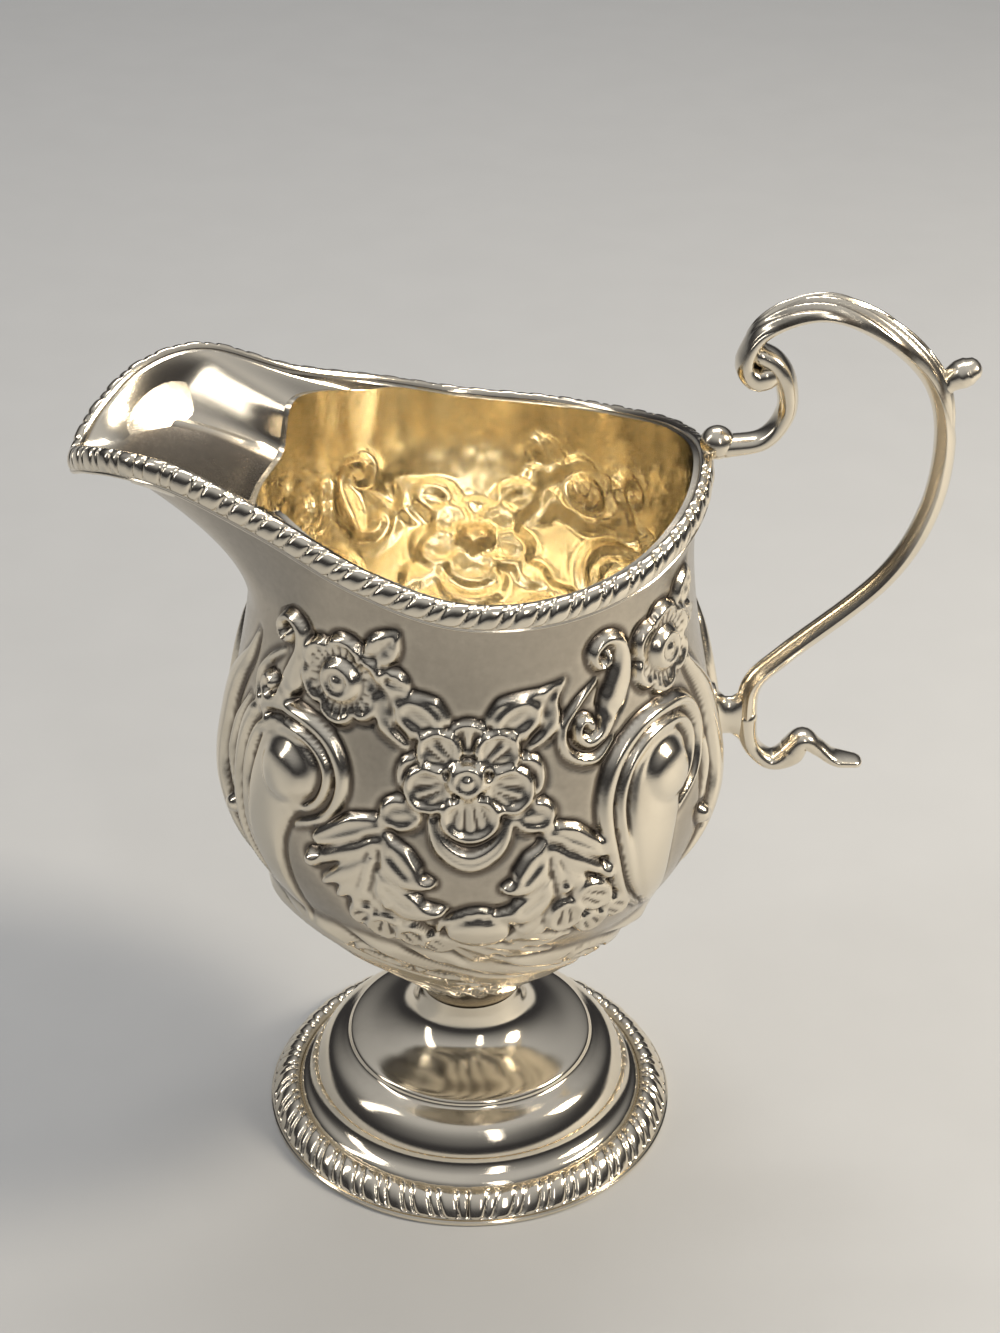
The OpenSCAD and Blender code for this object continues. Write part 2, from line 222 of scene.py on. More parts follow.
class Shell:
    """Points, faces, darkening and finishes of one piece, gathered from grids."""

    def __init__(self):
        self.points, self.tone, self.faces, self.finish, self.count = [], [], [], [], 0

    def grid(self, points, wrap_rows=False, wrap_columns=False, tone=0.0, finish=0):
        """Add a grid of points with a face between each four, and return its point numbers."""
        rows, columns = points.shape[:2]
        ids = self.count + np.arange(rows * columns).reshape(rows, columns)
        self.points.append(points.reshape(-1, 3))
        self.tone.append(np.broadcast_to(tone, (rows, columns)).reshape(-1))
        self.count += rows * columns
        walk = np.vstack([ids, ids[:1]]) if wrap_rows else ids
        walk = np.hstack([walk, walk[:, :1]]) if wrap_columns else walk
        faces = np.stack([walk[:-1, :-1], walk[:-1, 1:], walk[1:, 1:], walk[1:, :-1]], -1)
        self.add(faces.reshape(-1, 4), finish)
        return ids

    def add(self, faces, finish=0):
        """Add faces with one finish for all or one for each."""
        self.faces += np.asarray(faces).tolist()
        self.finish += np.broadcast_to(finish, len(faces)).tolist()

    def point(self, place_mm, tone=0.0):
        """Add one point and return its number."""
        self.points.append(np.array([place_mm], float))
        self.tone.append(np.array([tone], float))
        self.count += 1
        return self.count - 1

    def fan(self, line, middle, finish=0):
        """Triangles from each step of a line to one point."""
        self.add(np.column_stack([line[:-1], line[1:], np.full(len(line) - 1, middle)]), finish)

    def close(self, ring, middle, finish=0):
        """Fill a closed ring with triangles to a middle point."""
        self.fan(np.append(ring, ring[0]), self.point(middle), finish)

    def stitch(self, a, b, finish=0):
        """Triangles between two lines that may have different numbers of points."""
        i = j = 0
        steps_a, steps_b = len(a) - 1, len(b) - 1
        faces = []
        while i < steps_a or j < steps_b:
            if j == steps_b or (i < steps_a and (i + 1) * steps_b <= (j + 1) * steps_a):
                faces.append((a[i], a[i + 1], b[j]))
                i += 1
            else:
                faces.append((a[i], b[j + 1], b[j]))
                j += 1
        self.add(faces, finish)

    def build(self, name, materials, sharp=None):
        """Make the piece in metres, with its faces turned outwards."""
        mesh = bpy.data.meshes.new(name)
        mesh.from_pydata((np.vstack(self.points) * MM).tolist(), [], self.faces)
        mesh.polygons.foreach_set("material_index", np.array(self.finish, np.int32))
        tone = mesh.attributes.new("tone", "FLOAT", "POINT")
        tone.data.foreach_set("value", np.concatenate(self.tone).astype(np.float32))
        work = bmesh.new()
        work.from_mesh(mesh)
        bmesh.ops.recalc_face_normals(work, faces=work.faces)
        work.to_mesh(mesh)
        work.free()
        mesh.polygons.foreach_set("use_smooth", np.ones(len(mesh.polygons), bool))
        if sharp:
            mesh.set_sharp_from_angle(angle=radians(sharp))
        for material in materials:
            mesh.materials.append(material)
        piece = bpy.data.objects.new(name, mesh)
        bpy.context.scene.collection.objects.link(piece)
        return piece


def place(piece, node):
    """Let a finished piece stand for a node of the frame."""
    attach(piece, "root")
    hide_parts(node)


def turned(points, columns):
    """A profile of radii and heights turned round the jug's axis."""
    angle = np.linspace(0, 2 * pi, columns, endpoint=False)
    r, z = np.asarray(points, float).T[:, :, None]
    return polar(r, angle, z + 0 * angle)


def hoop(name, points, material, tone=0.0, sharp=None):
    """A piece that is closed round its section and round the jug."""
    shell = Shell()
    shell.grid(points, wrap_rows=True, wrap_columns=True, tone=tone)
    return shell.build(name, [material], sharp)


class Wire:
    """An output of a node, on which arithmetic adds Math nodes."""

    def __init__(self, tree, socket=None):
        self.tree = tree
        self.socket = socket

    def node(self, kind, settings, sockets, output=0):
        """Add any node from its type, its settings, and the values or wires of its sockets."""
        made = self.tree.nodes.new(kind)
        for name, value in settings.items():
            setattr(made, name, value)
        for name, value in sockets.items():
            if isinstance(value, Wire):
                self.tree.links.new(value.socket, made.inputs[name])
            else:
                made.inputs[name].default_value = value
        return Wire(self.tree, made.outputs[output])

    def math(self, operation, first, second):
        return self.node("ShaderNodeMath", {"operation": operation}, {0: first, 1: second})

    def __add__(self, other):
        return self.math("ADD", self, other)

    __radd__ = __add__

    def __mul__(self, other):
        return self.math("MULTIPLY", self, other)

    __rmul__ = __mul__

    def __sub__(self, other):
        return self.math("SUBTRACT", self, other)

    def __rsub__(self, other):
        return self.math("SUBTRACT", other, self)

    def within(self, low, high):
        """Ease from 0 at low to 1 at high."""
        return self.node("ShaderNodeMapRange", {"interpolation_type": "SMOOTHSTEP"},
                         {"Value": self, "From Min": low, "From Max": high})

    def blend(self, first, second):
        """Mix two colours by this value."""
        return self.node("ShaderNodeMix", {"data_type": "RGBA"},
                         {"Factor": self, "A": first, "B": second}, "Result")

    def noise(self, scale, detail, rough):
        """Soft random values over the places that this wire holds."""
        return self.node("ShaderNodeTexNoise", {},
                         {"Vector": self, "Scale": scale, "Detail": detail, "Roughness": rough}, "Fac")


def colour(rgb):
    return (*rgb, 1)


def metal(name, clean, dark, rough, brushed, tarnish_and_shade, scratch):
    """A worn metal: darkened in its hollows and wherever its tone attribute says, which carries tarnish and
    painted shade, softly mottled, with fine marks left by polishing.
    """
    material = bpy.data.materials.new(name)
    material.use_nodes = True
    tree = material.node_tree
    shader = tree.nodes["Principled BSDF"]
    shader.inputs["Metallic"].default_value = 1
    start = Wire(tree)
    place_mm = start.node("ShaderNodeVectorMath", {"operation": "SCALE"},
                          {0: start.node("ShaderNodeTexCoord", {}, {}, "Object"), "Scale": 1 / MM})
    tone = start.node("ShaderNodeAttribute", {"attribute_name": "tone"}, {}, "Fac")
    cloud = place_mm.noise(0.09, 4, 0.6)
    speck = place_mm.noise(0.9, 3, 0.65)
    hair = start.node("ShaderNodeMapping", {}, {"Vector": place_mm, "Scale": brushed}).noise(1, 3, 0.7)
    # The tone attribute, part tarnish and part painted shade, darkens the colour towards the dark one
    stain_and_shade = (tone * tarnish_and_shade + (speck - 0.5) * SPECKS * tone).within(0.05, 1.0)
    veil = cloud.within(0.45, 0.8) * VEIL
    base = stain_and_shade.blend(veil.blend(colour(clean), colour(dark)), colour(dark))
    tree.links.new(base.socket, shader.inputs["Base Color"])
    dull = rough + (cloud - 0.5) * rough * CLOUDS + (hair - 0.5) * rough * HAIRS + stain_and_shade * TONED
    tree.links.new(dull.socket, shader.inputs["Roughness"])
    bump = start.node("ShaderNodeBump", {},
                      {"Height": hair, "Strength": scratch, "Distance": HAIR_DEPTH_M}, "Normal")
    tree.links.new(bump.socket, shader.inputs["Normal"])
    return material


def silver(name, finish, rough, brushed, scratch):
    """Silver with the colours of the settings."""
    return metal(name, finish.silver, finish.tarnish_and_shade, rough, brushed, 1.0, scratch)


class JugFinish(PropertyGroup):
    """Colours and polish of the metals."""

    silver: FloatVectorProperty(name="Silver", description="Colour of clean silver", subtype="COLOR",
                                default=(0.86, 0.78, 0.64), min=0, max=1)
    # This colour darkens the silver both for tarnish and for painted shade in hollows, on the ground and in
    # the trough
    tarnish_and_shade: FloatVectorProperty(name="Toning", description="Colour of the tarnish left in the hollows",
                                subtype="COLOR", default=(0.17, 0.14, 0.11), min=0, max=1)
    gilt: FloatVectorProperty(name="Gilding", description="Colour of the gilt inside", subtype="COLOR",
                              default=(0.98, 0.89, 0.69), min=0, max=1)
    gilt_dark: FloatVectorProperty(name="Gilding in hollows", subtype="COLOR", default=(0.74, 0.53, 0.27),
                                   description="Colour of the gilding in the hollows", min=0, max=1)
    satin: FloatProperty(name="Satin", description="Roughness of the bowl", subtype="FACTOR", default=0.14,
                         min=0, max=1)
    polish: FloatProperty(name="Polish", description="Roughness of the cast and turned pieces",
                          subtype="FACTOR", default=0.13, min=0, max=1)


class JugSizes(PropertyGroup):
    """Sizes of the ornament."""

    relief: FloatProperty(name="Relief", description="Depth of the chasing, as a share of the drawn one",
                          subtype="FACTOR", default=1.0, min=0, max=1.5)
    rim_lobes: IntProperty(name="Rim lobes", description="Broad lobes around the rim", default=54,
                           min=30, max=100)
    foot_lobes: IntProperty(name="Foot lobes", description="Broad lobes around the foot", default=44,
                            min=24, max=100)
    border: FloatProperty(name="Border", description="How far the rim's border stands out", unit="LENGTH",
                          default=0.00195, min=0.001, max=0.003)


class JugStage(PropertyGroup):
    """Camera, light and floor."""

    floor: FloatVectorProperty(name="Floor", description="Colour of the floor", subtype="COLOR",
                               default=(0.47, 0.475, 0.48), min=0, max=1)
    distance: FloatProperty(name="Distance", description="From the camera to the point it looks at",
                            unit="LENGTH", default=0.38287, min=0.2, max=2)
    elevation: FloatProperty(name="Elevation", description="Angle of the camera above the table",
                             subtype="ANGLE", default=radians(31.66), min=0, max=radians(89))
    azimuth: FloatProperty(name="Azimuth", description="Turn of the camera round the jug", subtype="ANGLE",
                           default=radians(-0.35))
    roll: FloatProperty(name="Roll", description="Tilt of the camera", subtype="ANGLE",
                        default=radians(0.624))
    target: FloatVectorProperty(name="Target", description="Point in the middle of the picture",
                                subtype="XYZ", default=(0.004011, 0, 0.077786))
    lens: FloatProperty(name="Lens", description="Focal length for a 36 mm picture height", default=72.92,
                        min=20, max=200)


class Relief:
    """Heights chased on half of the bowl, as rows up the profile and columns round it."""

    def __init__(self, s, columns):
        self.s = s[:, None]
        self.r = on_bowl(s)[0][:, None]
        self.angle = np.linspace(180, 360, columns + 1)[None, :]
        self.h = np.zeros((len(s), columns + 1))
        # Painted shade in chased lines and grooves, from 0 to 1
        self.dark = np.zeros_like(self.h)

    def measure(self, angle, z):
        """Distances to the right of and above a point of the bowl, along its skin."""
        turn = (self.angle - angle + 90) % 180 - 90
        return self.r * np.radians(turn), self.s - s_at(z) + 0 * turn


class Spot:
    """A patch of the relief around one motif, in millimetres right of it and above it."""

    def __init__(self, relief, angle, z, reach, flip=1):
        x, y = relief.measure(angle, z)
        self.relief = relief
        self.index = np.nonzero((np.abs(x) < reach) & (np.abs(y) < reach))
        self.x, self.y = flip * x[self.index], y[self.index]

    def lay(self, inside, height, edge=0.6, line=0.22):
        """Raise a form where inside is above 0, with a chased line round it."""
        h = self.relief.h[self.index]
        h -= line * np.exp(-((inside + LINE_OUT) / LINE_WIDTH) ** 2)
        cover = smooth(inside / edge + 0.1)
        self.relief.h[self.index] = h + (height - h) * cover
        # A form laid over clears the painted shade under it
        self.relief.dark[self.index] *= 1 - cover

    def shade(self, amount):
        """Paint shade into chased lines and grooves by darkening the colour there."""
        self.relief.dark[self.index] = np.maximum(self.relief.dark[self.index], amount)

    def carve(self, gap, width, depth):
        """Cut a soft groove along a line."""
        self.relief.h[self.index] -= depth * np.exp(-(gap / width) ** 2)

    def along(self, points):
        """Distance from a smooth line, and how far along it the nearest point lies, from 0 to 1."""
        path = spline(points, 6)
        reach = lengths(path)
        gap, where = np.full(self.x.shape, 1e9), np.zeros(self.x.shape)
        for a, b, s0, s1 in zip(path[:-1], path[1:], reach[:-1], reach[1:]):
            way = b - a
            t = np.clip(((self.x - a[0]) * way[0] + (self.y - a[1]) * way[1]) / (way @ way), 0, 1)
            far = np.hypot(self.x - a[0] - t * way[0], self.y - a[1] - t * way[1])
            where = np.where(far < gap, s0 + t * (s1 - s0), where)
            gap = np.minimum(gap, far)
        return gap, where / reach[-1]

    def stroke(self, points, widths, heights, dish=0.0, veins=0, line=0.22):
        """A ridge along a line with half widths and heights, hollowed by dish, with oblique veins."""
        gap, t = self.along(points)
        width, height = table(t, *widths), table(t, *heights)
        q = np.clip(gap / width, 0, 1)
        round_top = 0.35 + 0.65 * np.sqrt(1 - q * q)
        dished = 1 - dish * smooth(1.2 - 1.5 * q)
        top = height * (dished if dish else round_top)
        if veins:
            top = top + 0.11 * np.cos(2 * pi * (veins * t - 0.9 * q)) * smooth(1.4 - 1.4 * q)
        self.lay(width - gap, top, edge=np.minimum(0.6, 0.6 * width), line=line)

    def leaf(self, points, width, height, veins=5):
        """A pointed leaf with a rib down its middle and veins to its edges."""
        gap, t = self.along(points)
        half = width * np.maximum(np.sin(pi * np.clip(0.1 + 0.9 * t, 0, 1)) ** 0.8, 0.04)
        q = np.clip(gap / half, 0, 1)
        side = 0.09 * np.cos(2 * pi * (veins * t - 0.7 * q)) * smooth(4 * q) * smooth(3 - 3 * q)
        self.lay(half - gap, height * (0.6 + 0.4 * smooth(1.6 * q)) + side, edge=0.5)
        self.carve(gap + 3 * smooth((t - 0.9) * 10) * (t > 0.9), 0.26, 0.22)

    def oval(self, middle, radii, turn, height, dish=0.0, lines=0):
        """A dome, or a dish with a rolled edge, with chased lines across it."""
        c, s = cos(radians(turn)), sin(radians(turn))
        x, y = self.x - middle[0], self.y - middle[1]
        u, v = c * x + s * y, c * y - s * x
        q = np.hypot(u / radii[0], v / radii[1])
        dome = 0.3 + 0.7 * np.sqrt(np.clip(1 - q * q, 0, 1))
        top = height * ((1 - dish * smooth(1.9 - 2.2 * q)) if dish else dome)
        if lines:
            top = top + 0.12 * np.cos(2 * pi * lines * v / radii[1] / 2) * smooth(1.6 - 2.2 * q)
        self.lay((1 - q) * min(radii), top)

    def petal(self, middle, radii, height, hollow=0.62):
        """A cupped petal with a rolled edge and veins that fan out from the motif's middle."""
        a = np.arctan2(middle[1], middle[0])
        u = self.x * cos(a) + self.y * sin(a)
        v = self.y * cos(a) - self.x * sin(a)
        reach = np.hypot(*middle)
        q = np.hypot((u - reach) / radii[0], v / radii[1])
        fan = np.cos(v / np.maximum(u, 1.5) * reach * 2 * pi / 1.4)
        cup = 1 - hollow * smooth((0.88 - q) / 0.3)
        veined = smooth((0.66 - q) / 0.3)
        self.lay((1 - q) * min(radii), height * cup + 0.2 * fan * veined, edge=0.5, line=0.3)
        # Painted shade darkens the grooves between the veins
        self.shade(smooth(-fan - 0.1) * veined * 0.9)

    def boss(self, radius, height):
        """The seed head of a flower: two rolled rings round a small dome."""
        r = np.hypot(self.x, self.y) / radius
        profile = np.interp(r, [0, 0.12, 0.26, 0.36, 0.44, 0.56, 0.68, 0.78, 0.9, 1],
                            [1.02, 1, 0.92, 0.68, 0.68, 0.96, 0.98, 0.78, 0.84, 0.5])
        self.lay((1 - r) * radius, height * profile, line=0.3)


def mirrored(side, *points):
    """Points flipped from left to right with side -1."""
    return [(side * x, y) for x, y in points]


def flower(relief, angle, z):
    """The six-petalled flower with its sepal, side leaves and the two cupped leaves above it."""
    spot = Spot(relief, angle, z, 20)
    for side in (-1, 1):
        spot.stroke(mirrored(side, (2.2, 5.4), (6, 8), (9.6, 9.8), (12.8, 12.6)), (1.6, 3.7, 2.6, 0.3),
                    (0.5, 0.75, 0.7, 0.4), 0.35, 3)
        spot.stroke(mirrored(side, (11.4, 10.6), (11.2, 6.6), (8, 3.4)), (0.5, 1.3, 0.3), (0.5, 0.8, 0.4))
        spot.oval((side * 6.4, 8), (3.6, 2.4), side * 32, 1.05, 0.6, 4)
        spot.oval((side * 8.9, -6), (3.2, 2.6), side * -14, 0.95, 0.55, 2)
    spot.stroke([(-4.6, -6.2), (-3.2, -10.2), (0.4, -12.2), (4, -10.2), (5.6, -6.2)],
                (0.9, 1.3, 1.5, 1.3, 0.9), (0.6, 0.9, 1.0, 0.9, 0.6), 0.35)
    spot.petal((7.6, -0.6), (2.8, 3.6), 0.8)
    spot.petal((-6.9, -0.6), (2.6, 3.4), 0.75)
    spot.petal((0.1, 5.5), (2.7, 2.8), 1.05)
    for middle, radii in (((-3.7, 3.7), (3.1, 3.2)), ((3.9, 3.7), (3.1, 3.2)), ((-5.1, -1.9), (3.4, 3.6)),
                          ((5.4, -1.9), (3.5, 3.6)), ((0.4, -5.8), (3.6, 4.2))):
        spot.petal(middle, radii, 1.45)
    spot.boss(2.8, 2.2)


def rosette(relief, angle, z):
    """The rosette near the neck: pleats and six scalloped petals round its boss, and two pointed leaves."""
    spot = Spot(relief, angle, z, 16)
    spot.leaf([(3.6, 3.6), (6, 6.2), (8, 9)], 2.4, 1.0)
    spot.leaf([(4.8, 1.2), (7.2, 1.6), (10, 0.6)], 2.0, 1.0)
    r, a = np.hypot(spot.x, spot.y), np.arctan2(spot.y, spot.x) - radians(25)
    edge = 5.4 + 1.3 * np.abs(np.cos(3 * a)) ** 0.6
    roll = np.exp(-((edge - r - 0.75) / 0.6) ** 2)
    between = np.exp(-(r * np.cos(3 * a) / 3 / 0.34) ** 2) * smooth((r - 4.4) / 0.6)
    pleats = np.cos(24 * a) * smooth((r - 3.2) / 0.4) * smooth((edge - 1.1 - r) / 0.6)
    spot.lay(edge - r, 0.7 + 0.65 * roll + 0.17 * pleats - 0.55 * between, edge=0.5, line=0.35)
    # Painted shade darkens the pleats and the clefts between the petals
    spot.shade(np.maximum(smooth(-pleats - 0.2), between) * 0.8 * (r < edge))
    spot.boss(3.2, 2.0)


def comma(relief, angle, z):
    """The comma-shaped cabochon inside its coiled frame."""
    spot = Spot(relief, angle, z, 30)
    outer = [(-3, -23), (-9.6, -15), (-11.8, -4), (-9.6, 3.6), (-4.6, 7.8), (1.5, 8.4), (6.6, 6.4),
             (9.2, 1.2), (7.4, -4.4), (2, -7.8)]
    inner = [(-4.6, -20), (-8, -13.5), (-9.4, -4), (-7.5, 2.2), (-3.6, 5.5), (1, 6), (5, 4.4), (6.8, 1),
             (5.4, -3.2), (1.5, -5.8)]
    spot.stroke([(-1, 0), (-3.4, -6), (-4.2, -12), (-2.6, -18), (1, -26)],
                (6, 5, 4.2, 2.6, 0.4), (1.4, 1.3, 1.05, 0.7, 0.2))
    spot.stroke(outer, (0.3, 1.1, 1.35, 1.35, 1.35, 1.1, 0.3), (0.4, 1.0, 1.3, 1.4, 1.4, 1.1, 0.4))
    spot.stroke(inner, (0.3, 0.9, 1.05, 1.05, 1.05, 0.9, 0.3), (0.4, 0.8, 1.1, 1.2, 1.2, 0.9, 0.4))
    x, y = spot.x + 0.4, spot.y + 0.6
    q = np.hypot(x / 4.6, y / 4.5)
    ring_line = 0.3 * smooth(y / 4 + x / 6 + 0.9)
    spot.lay((1 - q) * 4.5, 0.6 + 1.9 * np.sqrt(np.clip(1 - q * q, 0, 1)), edge=1.6, line=ring_line)


def s_scroll(relief, angle, z):
    """The S-shaped scroll beside the rosette, rolled up at both ends."""
    spot = Spot(relief, angle, z, 18)
    spot.stroke([(-1.6, -3.4), (-4.6, -6), (-7, -9.4), (-6.4, -13), (-2.8, -14.6), (0.6, -12.6)],
                (0.3, 0.6, 0.8, 0.8, 0.7, 0.3), (0.4, 0.8, 0.9, 0.9, 0.8, 0.3))
    spot.stroke([(0.9, -6.4), (-0.2, -8.6), (-1.2, -10.6), (-3.4, -11.8), (-5, -10.4), (-4.4, -8.4),
                 (-3, -8.9), (-3.2, -9.8)],
                (2.0, 1.7, 1.4, 1.2, 1.0, 0.8, 0.7, 0.6), (1.3, 1.3, 1.3, 1.3, 1.3, 1.4, 1.5, 1.6))
    spot.stroke([(0.9, -6.6), (2, -4), (2.5, -1.4), (1.9, 1.3), (-0.2, 2.3), (-2.1, 0.8), (-1.6, -1.1),
                 (-0.1, -1), (0.1, 0.2)],
                (2.1, 2.1, 1.7, 1.4, 1.2, 1.0, 0.8, 0.7, 0.6), (1.3, 1.3, 1.3, 1.3, 1.3, 1.3, 1.4, 1.5, 1.6))


def acanthus(relief, angle, z, flip, spread):
    """A spray of acanthus with a beaded rib, turned away from the flower."""
    spot = Spot(relief, angle, z, 22, flip / spread)
    spot.stroke([(0.4, -0.6), (1.4, -5), (2.2, -10), (1.4, -15.5)],
                (0.9, 4.2, 5.2, 3), (0.6, 0.75, 0.75, 0.6))
    for lobe in (((1.6, -12), (-0.8, -15), (-3.6, -17.4), (-6.2, -18)),
                 ((1.6, -7.4), (-1.2, -10.4), (-4.6, -12.4), (-8, -12.2)),
                 ((0.8, -2.6), (-1.6, -5), (-4.2, -7.4), (-6.6, -7.9))):
        spot.stroke(lobe, (1.7, 2.7, 2.3, 0.5), (0.7, 0.95, 1.45, 1.65), line=0.25)
        vein = spot.along([(x + 0.9, y + 0.8) for x, y in lobe[1:3]])[0]
        spot.carve(vein, 0.45, 0.45)
    for scallop in (((2.8, -9), (3.6, -11), (4.4, -13)), ((2.6, -7.4), (4.6, -10), (6.8, -12.4)),
                    ((2.2, -5.4), (5.4, -8.4), (9, -11))):
        spot.stroke(scallop, (1.3, 1.9, 0.7), (0.8, 1.0, 1.4), line=0.25)
    spot.stroke([(1.4, -3), (6, -5.4), (10.4, -8)], (0.9, 1.5, 1.1), (0.8, 1.0, 1.2), line=0.25)
    spot.stroke([(-0.6, 0.8), (4.6, -1.4), (9.9, -4.6)], (0.8, 1.9, 1.3), (0.8, 1.0, 1.4), 0.3, line=0.3)
    spot.oval((11, -8.2), (1.5, 1.4), 0, 1.7)
    for bead in range(7):
        spot.oval((1.7 + 0.25 * bead, -4.4 - 1.05 * bead), (0.6, 0.5), 0, 1.35)


def small_flower(relief, angle, z, petals):
    """Chased petals low on the bowl, fanned round one point."""
    spot = Spot(relief, angle, z, 14)
    for middle, radii in petals:
        spot.petal(middle, radii, 1.5, 0.4)
    spot.oval((0, 0), (0.8, 0.8), 0, 1.3)


def low_cabochon(relief, angle, z):
    """The oval cabochon under its arch, with leaves flowing from it."""
    spot = Spot(relief, angle, z, 18)
    for leaf in (((3.6, -3.4), (8, -4.6), (13, -5)), ((-1, -4.2), (5, -7), (10.5, -9.6)),
                 ((-4.6, -3), (0, -7.4), (4.6, -12))):
        spot.stroke(leaf, (1.0, 2.0, 0.3), (0.7, 1.0, 0.5), 0.35, 2)
    spot.oval((0, -0.6), (4.7, 3.2), -3, 1.9)
    spot.stroke([(-5.6, -2.8), (-4.5, 0.9), (0, 3), (4.5, 0.9), (5.6, -2.8)],
                (0.3, 0.5, 0.55, 0.5, 0.3), (0.7, 1.0, 1.1, 1.0, 0.7))


def tall_band(relief, angle, z, flip):
    """The tall leaf that frames the plain field under the spout and the handle."""
    spot = Spot(relief, angle, z, 34, flip)
    spot.stroke([(5.6, 11), (4, 7), (1.2, 2.8), (-1, -2), (-2, -8), (-1.4, -14), (1.8, -20), (7, -25)],
                (0.3, 1.3, 2.0, 2.4, 2.5, 2.2, 1.5, 0.3), (0.4, 1.1, 1.6, 1.7, 1.7, 1.5, 1.0, 0.3))
    spot.stroke([(5.6, 1), (3.4, -4), (2.8, -9), (4.6, -15)], (0.3, 0.9, 1.0, 0.3), (0.4, 0.9, 1.0, 0.4))
    spot.oval((4.4, -17.6), (2.2, 1.6), 40, 1.5)


def waves(relief, angle):
    """Wavy strands with almond eyes, winding down to the foot of the bowl."""
    spot = Spot(relief, angle, 42, 60)
    r = np.broadcast_to(relief.r, relief.h.shape)[spot.index]
    turn, y = spot.x / r, spot.y
    strands, pitch = 9, 6
    sway = 0.35 * np.sin(4 * turn + 0.5)
    ripple = 0.12 * np.sin(12 * turn + 0.5 * y)
    winding = y / pitch + strands * turn / pi + sway + ripple
    strand = 1.25 * np.abs(np.sin(pi * winding)) ** 0.8 + 0.3 * np.abs(np.sin(3 * pi * winding))
    # Each eye lies along the strands
    slope = np.arctan2(strands * pitch / pi, r)
    eye_length, eye_width = 3.6, 1.9
    for across, up in ((-0.42, 7.5), (-0.14, 2.7), (0.0, -4.6), (0.12, -10), (0.62, 4), (0.9, -3), (-1.0, 0)):
        x, rise = (turn - across) * r, y - up
        u, v = x * np.cos(slope) - rise * np.sin(slope), x * np.sin(slope) + rise * np.cos(slope)
        far = np.hypot(u / eye_length, v / eye_width)
        strand = np.where(far < 1.25, 0.3 + 1.2 * np.exp(-((far - 0.95) / 0.24) ** 2), strand)
    top = 10.5 + 3 * np.sin(2 * turn + 2.6)
    cover = smooth((top - y) / 3) * smooth((y + 22) / 4)
    bare = 1 - smooth((relief.h[spot.index] - 0.1) / 0.4)
    relief.h[spot.index] += cover * bare * strand
    # Painted shade darkens the strands' grooves and slopes, so that only their crests stay bright
    spot.shade(smooth((1.0 - strand) / 0.8) * cover * bare)


def soften(h, rounds):
    """Spread heights to their neighbours, round the bowl and along the profile."""
    for _ in range(rounds):
        wide = np.hstack([h[:, -2:-1], h, h[:, 1:2]])
        h = (h + (wide[:, 2:] + wide[:, :-2]) / 2) / 2
        tall = np.vstack([h[:1], h, h[-1:]])
        h = (h + (tall[2:] + tall[:-2]) / 2) / 2
    return h


def chase(s, columns):
    """The ornament of half of the bowl; the other half repeats it."""
    relief = Relief(s, columns)
    tall_band(relief, 164, 80, -1)
    tall_band(relief, 193, 80, 1)
    acanthus(relief, 251.4, 73, -1, 1)
    acanthus(relief, 286.6, 72.4, 1, 0.85)
    small_flower(relief, 252, 61, (((-3.8, -3.2), (2.3, 2.3)), ((-0.6, -4.6), (2.8, 2.8)),
                                   ((3, -5.8), (2.5, 2.3)), ((6, -7.4), (2.3, 2))))
    small_flower(relief, 291.5, 63.4, (((8.2, -6.4), (2.7, 2.2)), ((4.3, -7.8), (2.5, 2.4)),
                                       ((4.2, -2.5), (3.3, 2.7)), ((0.1, -5), (3.1, 2.7))))
    for angle, z in ((223.9, 76), (321.5, 75.4)):
        comma(relief, angle, z)
    for angle, z in ((220.4, 95.3), (304.9, 95.4)):
        s_scroll(relief, angle, z)
    for angle, z in ((237.4, 91.8), (324.8, 92.2)):
        rosette(relief, angle, z)
    flower(relief, 269.5, 80.8)
    low_cabochon(relief, 272, 58)
    waves(relief, 270)
    return relief.h, relief.dark


